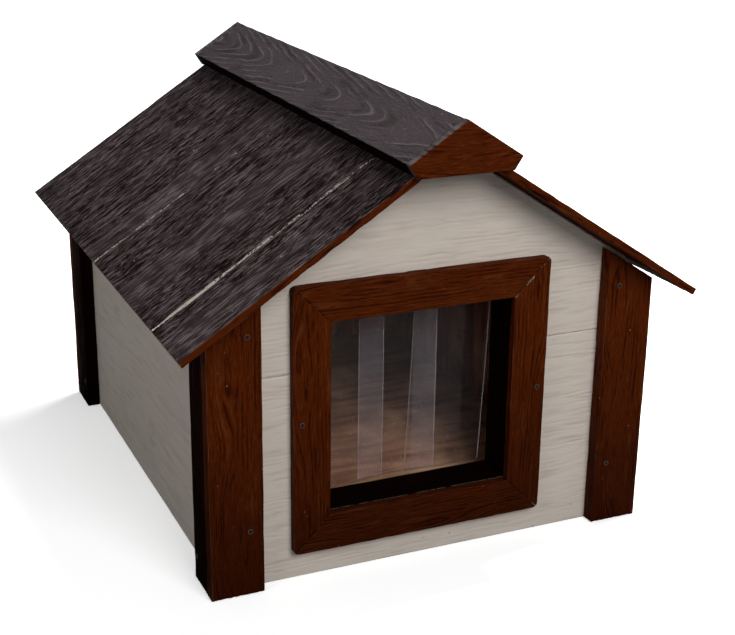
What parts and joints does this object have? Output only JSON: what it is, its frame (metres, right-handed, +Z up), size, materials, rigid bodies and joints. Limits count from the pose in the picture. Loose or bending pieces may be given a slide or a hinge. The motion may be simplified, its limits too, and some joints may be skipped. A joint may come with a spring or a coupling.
{
  "type": "insulated kennel",
  "caption": "Small insulated wooden animal house with a lift-off gable roof, capped ridge, brown corner boards and a square doorway hung with clear overlapping strips.",
  "frame": {"origin": "centre of the footprint, on the ground", "axes": "+X to the right when facing the doorway, -Y out of the doorway, +Y to the rear along the ridge, +Z up"},
  "size_m": [0.8912, 1.0478, 0.7482],
  "materials": {
    "painted_siding": "matt cream paint over embossed wood grain",
    "brown_board": "satin reddish-brown paint over embossed wood grain",
    "roof_board": "satin dark brown paint over deep embossed wood grain",
    "lining_sheet": "bare engineered wood sheet",
    "framing_timber": "planed softwood",
    "foam": "rigid foam board",
    "clear_strip": "clear flexible PVC, slightly cloudy",
    "screw_steel": "dull plated steel"
  },
  "bodies": {
    "house": {"front_siding_lower": "painted_siding", "front_siding_upper": "painted_siding", "rear_siding": "painted_siding", "left_siding": "painted_siding", "right_siding": "painted_siding", "front_left_corner_board": "brown_board", "front_right_corner_board": "brown_board", "rear_left_corner_board": "brown_board", "rear_right_corner_board": "brown_board", "front_left_side_board": "brown_board", "front_right_side_board": "brown_board", "rear_left_side_board": "brown_board", "rear_right_side_board": "brown_board", "door_trim_top": "brown_board", "door_trim_bottom": "brown_board", "door_trim_left": "brown_board", "door_trim_right": "brown_board", "door_head_lining": "brown_board", "door_sill": "brown_board", "door_left_lining": "brown_board", "door_right_lining": "brown_board", "strip_clamp_bar": "framing_timber", "strip_heads": "clear_strip", "front_liner": "lining_sheet", "rear_liner": "lining_sheet", "left_liner": "lining_sheet", "right_liner": "lining_sheet", "front_foam": "foam", "rear_foam": "foam", "left_foam": "foam", "right_foam": "foam", "front_left_stud": "framing_timber", "front_right_stud": "framing_timber", "rear_left_stud": "framing_timber", "rear_right_stud": "framing_timber", "door_left_stud": "framing_timber", "door_right_stud": "framing_timber", "door_header": "framing_timber", "left_top_plate": "framing_timber", "right_top_plate": "framing_timber", "floor_deck": "lining_sheet", "floor_foam": "foam", "floor_skin": "lining_sheet", "floor_rail_left": "framing_timber", "floor_rail_right": "framing_timber", "wood_screws": "screw_steel"},
    "roof": {"roof_panel_left": "roof_board", "roof_panel_right": "roof_board", "roof_foam": "foam", "ceiling_left": "lining_sheet", "ceiling_right": "lining_sheet", "ridge_beam": "framing_timber", "ridge_board_left": "roof_board", "ridge_board_right": "roof_board", "ridge_end_front": "brown_board", "ridge_end_rear": "brown_board"},
    "strip_left": {"door_strip_left": "clear_strip"},
    "strip_middle": {"door_strip_middle": "clear_strip"},
    "strip_right": {"door_strip_right": "clear_strip"}
  },
  "joints": [
    {"name": "roof_lift", "type": "slide", "parent": "house", "child": "roof", "axis": [0, 0, 1], "range_m": [0, 0.35]},
    {"name": "strip_middle_swing", "type": "hinge", "parent": "house", "child": "strip_middle", "pos_m": [-0.0254, -0.36205, 0.4315], "axis": [1, 0, 0], "range_deg": [-70, 70]},
    {"name": "strip_left_swing", "type": "hinge", "parent": "house", "child": "strip_left", "pos_m": [-0.0254, -0.36205, 0.4315], "axis": [1, 0, 0], "range_deg": [-70, 70]},
    {"name": "strip_right_swing", "type": "hinge", "parent": "house", "child": "strip_right", "pos_m": [-0.0254, -0.36205, 0.4315], "axis": [1, 0, 0], "range_deg": [-70, 70]}
  ],
  "couplings": [
    {"joint": "strip_left_swing", "follows": "strip_middle_swing", "ratio": 1},
    {"joint": "strip_right_swing", "follows": "strip_middle_swing", "ratio": 1}
  ]
}
